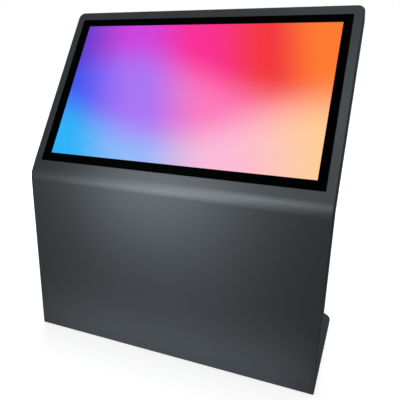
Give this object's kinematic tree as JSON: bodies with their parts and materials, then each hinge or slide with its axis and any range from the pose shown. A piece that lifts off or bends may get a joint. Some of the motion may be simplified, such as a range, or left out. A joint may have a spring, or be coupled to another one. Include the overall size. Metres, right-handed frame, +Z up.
{
  "type": "interactive kiosk",
  "caption": "Free-standing touch kiosk: a bent anthracite steel front with a wide leaning screen, a lockable service door behind and a flat base plate.",
  "frame": {"origin": "centre of the footprint, on the floor under the rubber pads", "axes": "+Z up, -Y towards the user in front of the screen, +X to the right as seen from the front"},
  "size_m": [1.06, 0.52, 1.1885],
  "materials": {
    "powder_coat": "fine-textured anthracite powder coat",
    "powder_coat_rear": "fine-textured anthracite powder coat",
    "cover_glass": "clear glass with a black printed border",
    "picture_panel": "picture panel, smooth",
    "clear_guide": "clear acrylic",
    "tray_aluminium": "folded aluminium sheet",
    "black_aluminium": "black anodised",
    "zinc_steel": "zinc-plated steel",
    "bright_steel": "bright zinc",
    "black_screws": "black oxide",
    "lock_chrome": "polished",
    "black_rubber": "matte",
    "black_plastic": "matte moulded",
    "rocker_plastic": "satin moulded",
    "player_case": "satin black case",
    "button_metal": "turned",
    "supply_case": "bare sheet",
    "pin_brass": "nickel-plated",
    "board_green": "printed board",
    "lead_jacket": "black jacket",
    "nylon": "natural nylon"
  },
  "bodies": {
    "stand": {"front_shell": "powder_coat", "base_plate": "powder_coat_rear", "upper_rear_cover": "powder_coat_rear", "lower_rear_panel": "powder_coat_rear", "cover_glass": "cover_glass", "lcd_panel": "picture_panel", "light_guide": "clear_guide", "backlight_tray": "tray_aluminium", "display_frame": "black_aluminium", "base_angle_left": "zinc_steel", "base_angle_right": "zinc_steel", "side_frame_left": "zinc_steel", "side_frame_right": "zinc_steel", "display_rail_lower": "zinc_steel", "display_rail_upper": "zinc_steel", "component_plate": "zinc_steel", "hinge_leaves": "zinc_steel", "base_bolts": "bright_steel", "frame_studs": "bright_steel", "frame_nuts": "bright_steel", "rail_screws": "bright_steel", "hinge_pins": "bright_steel", "plate_fixings": "bright_steel", "upper_cover_screws": "black_screws", "fan_screws": "black_screws", "lower_panel_screws": "black_screws", "foot_pads": "black_rubber", "cable_grommet": "black_rubber", "door_seal": "black_rubber", "glass_tape": "black_rubber", "fan_frame_left": "black_plastic", "fan_frame_right": "black_plastic", "power_inlet": "black_plastic", "switch_body": "black_plastic", "terminal_strip": "black_plastic", "media_player": "player_case", "power_supply": "supply_case", "inlet_pins": "pin_brass", "driver_board": "board_green", "touch_board": "board_green", "mains_lead": "lead_jacket", "display_lead": "lead_jacket", "video_lead": "lead_jacket", "cable_clips": "nylon"},
    "door": {"service_door": "powder_coat_rear", "door_hinge_leaves": "zinc_steel", "lock_body_upper": "lock_chrome", "lock_body_lower": "lock_chrome"},
    "lock_upper": {"lock_plug_upper": "lock_chrome", "lock_cam_upper": "bright_steel"},
    "lock_lower": {"lock_plug_lower": "lock_chrome", "lock_cam_lower": "bright_steel"},
    "rocker": {"switch_rocker": "rocker_plastic"},
    "fan_left": {"fan_rotor_left": "black_plastic"},
    "fan_right": {"fan_rotor_right": "black_plastic"},
    "button": {"player_button": "button_metal"}
  },
  "joints": [
    {"name": "door_hinge", "type": "hinge", "parent": "stand", "child": "door", "pos_m": [-0.2455, -0.1987, 0.315], "axis": [0, 0, 1], "range_deg": [0, 110]},
    {"name": "lock_upper_turn", "type": "hinge", "parent": "door", "child": "lock_upper", "pos_m": [0.198, -0.205, 0.415], "axis": [0, -1, 0], "range_deg": [0, 90]},
    {"name": "lock_lower_turn", "type": "hinge", "parent": "door", "child": "lock_lower", "pos_m": [0.198, -0.205, 0.215], "axis": [0, -1, 0], "range_deg": [0, 90]},
    {"name": "rocker_tilt", "type": "hinge", "parent": "stand", "child": "rocker", "pos_m": [0.34, -0.203, 0.075], "axis": [-1, 0, 0], "range_deg": [0, 24]},
    {"name": "fan_left_spin", "type": "hinge", "parent": "stand", "child": "fan_left", "pos_m": [-0.25, 0.10835, 1.09063], "axis": [0, -0.829, 0.5592], "continuous": true},
    {"name": "fan_right_spin", "type": "hinge", "parent": "stand", "child": "fan_right", "pos_m": [0.25, 0.10835, 1.09063], "axis": [0, -0.829, 0.5592], "continuous": true},
    {"name": "player_press", "type": "slide", "parent": "stand", "child": "button", "axis": [0, -1, 0], "range_m": [0, 0.001], "stiffness_N_per_m": 300, "springref_m": -0.0005}
  ]
}
